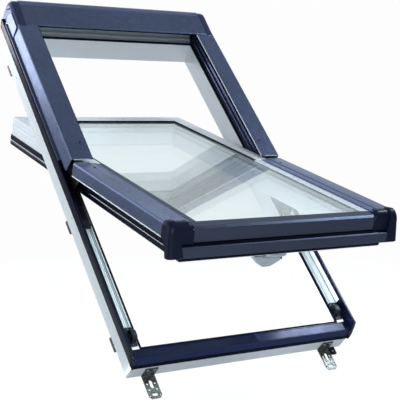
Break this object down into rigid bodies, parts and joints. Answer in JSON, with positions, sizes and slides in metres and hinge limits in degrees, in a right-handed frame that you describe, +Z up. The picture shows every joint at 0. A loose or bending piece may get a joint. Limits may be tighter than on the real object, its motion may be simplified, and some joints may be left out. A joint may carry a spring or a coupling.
{
  "type": "roof skylight",
  "caption": "Centre-pivot roof skylight: white frame with dark aluminium covers and hood, steel brackets, and a double-glazed sash standing open with a lever handle and lock bolts",
  "frame": {"origin": "on the room-side face of the frame's bottom member, at its middle", "axes": "+Z up, +X along the width with the window's left side at -X, +Y horizontal into the building, so the outer face looks towards -Y and the frame leans back at 46.3 degrees from level as on the roof"},
  "size_m": [0.818, 1.2524, 1.2058],
  "materials": {
    "white_pvc": "satin",
    "white_caps": "satin",
    "dark_aluminium": "satin powder coat",
    "dark_plastic": "satin",
    "black_plastic": "matte",
    "black_rubber": "matte",
    "silver_aluminium": "brushed",
    "zinc_steel": "zinc plated",
    "hinge_steel": "satin",
    "handle_aluminium": "satin anodised",
    "light_trim": "satin",
    "glass": "clear"
  },
  "bodies": {
    "frame": {"frame_bottom_rail": "white_pvc", "frame_top_rail": "white_pvc", "frame_left_jamb": "white_pvc", "frame_right_jamb": "white_pvc", "frame_gasket": "black_rubber", "side_cladding_left": "dark_aluminium", "side_cladding_right": "dark_aluminium", "cladding_plugs_left": "black_plastic", "cladding_plugs_right": "black_plastic", "bottom_cladding": "dark_aluminium", "top_ledge": "silver_aluminium", "ledge_rail_left": "silver_aluminium", "ledge_rail_right": "silver_aluminium", "rail_end_left": "black_plastic", "rail_end_right": "black_plastic", "lock_keep_left": "black_plastic", "lock_keep_right": "black_plastic", "hinge_track_left": "hinge_steel", "hinge_track_right": "hinge_steel", "cover_carrier_left": "black_plastic", "cover_carrier_right": "black_plastic", "side_cover_left": "dark_aluminium", "side_cover_right": "dark_aluminium", "hood_cover": "dark_aluminium", "hood_cap_left": "dark_plastic", "hood_cap_right": "dark_plastic", "frame_cover_screws": "black_plastic", "roof_bracket_left": "zinc_steel", "roof_bracket_right": "zinc_steel", "bracket_screws": "hinge_steel", "bracket_tab": "black_plastic", "lining_clips": "zinc_steel"},
    "sash": {"sash_bottom_rail": "white_pvc", "sash_top_rail": "white_pvc", "sash_left_stile": "white_pvc", "sash_right_stile": "white_pvc", "outer_pane": "glass", "pane_spacer": "silver_aluminium", "inner_pane": "glass", "glazing_seal": "black_rubber", "upper_cap_left": "white_caps", "upper_cap_right": "white_caps", "upper_cap_top": "white_caps", "glazing_bead_left": "light_trim", "glazing_bead_right": "light_trim", "sash_outer_seal": "black_rubber", "sash_inner_seal": "black_rubber", "sash_cover_left": "dark_aluminium", "sash_cover_right": "dark_aluminium", "sash_cover_screws": "black_plastic", "bottom_cover_upper": "dark_aluminium", "bottom_cover_lower": "dark_aluminium", "corner_cap_left": "dark_plastic", "corner_cap_right": "dark_plastic", "hinge_tongue_left": "hinge_steel", "hinge_tongue_right": "hinge_steel", "lock_gearbox": "hinge_steel"},
    "lock_bolt_left": {"lock_bolt_left": "hinge_steel"},
    "lock_bolt_right": {"lock_bolt_right": "hinge_steel"},
    "handle": {"handle": "handle_aluminium"}
  },
  "joints": [
    {"name": "sash_pivot", "type": "hinge", "parent": "frame", "child": "sash", "pos_m": [0, 0.31401, 0.59782], "axis": [-1, 0, 0], "range_deg": [-32.7, 97.3]},
    {"name": "handle_turn", "type": "hinge", "parent": "sash", "child": "handle", "pos_m": [0, -0.22831, 0.34315], "axis": [0, 0.2351, -0.972], "range_deg": [0, 90]},
    {"name": "lock_slide_left", "type": "slide", "parent": "sash", "child": "lock_bolt_left", "axis": [-1, 0, 0], "range_m": [0, 0.022]},
    {"name": "lock_slide_right", "type": "slide", "parent": "sash", "child": "lock_bolt_right", "axis": [1, 0, 0], "range_m": [0, 0.022]}
  ],
  "couplings": [
    {"joint": "lock_slide_left", "follows": "handle_turn", "m_per_rad": 0.014},
    {"joint": "lock_slide_right", "follows": "handle_turn", "m_per_rad": 0.014}
  ]
}
